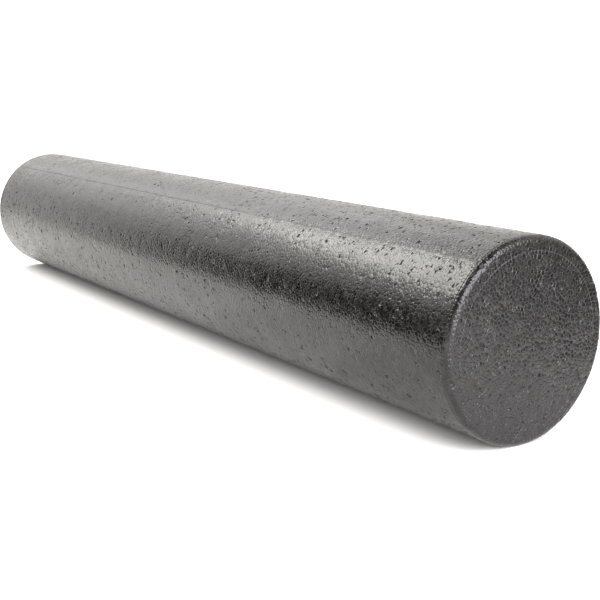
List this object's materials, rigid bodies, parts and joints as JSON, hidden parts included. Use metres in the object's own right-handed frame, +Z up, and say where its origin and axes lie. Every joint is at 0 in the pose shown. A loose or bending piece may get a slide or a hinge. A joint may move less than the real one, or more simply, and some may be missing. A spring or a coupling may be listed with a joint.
{
  "type": "foam roller",
  "caption": "Firm foam roller: a long solid cylinder of fused black bead foam with flat ends and rounded rims, for rolling exercise, balance work and self-massage.",
  "frame": {"origin": "on the roller's axis, at half its length, which is the centre of its bounding box", "axes": "+Y along the roller's axis, which it turns about when it rolls; +Z up with the roller lying on its side; +X completes the right-handed frame"},
  "size_m": [0.1523, 0.9144, 0.1523],
  "materials": {
    "foam": "black expanded polypropylene bead foam: semi-gloss pressed skin with visible fused beads, vent marks and small pits, duller on the ends"
  },
  "bodies": {
    "root": {"foam_roller": "foam"}
  },
  "joints": []
}
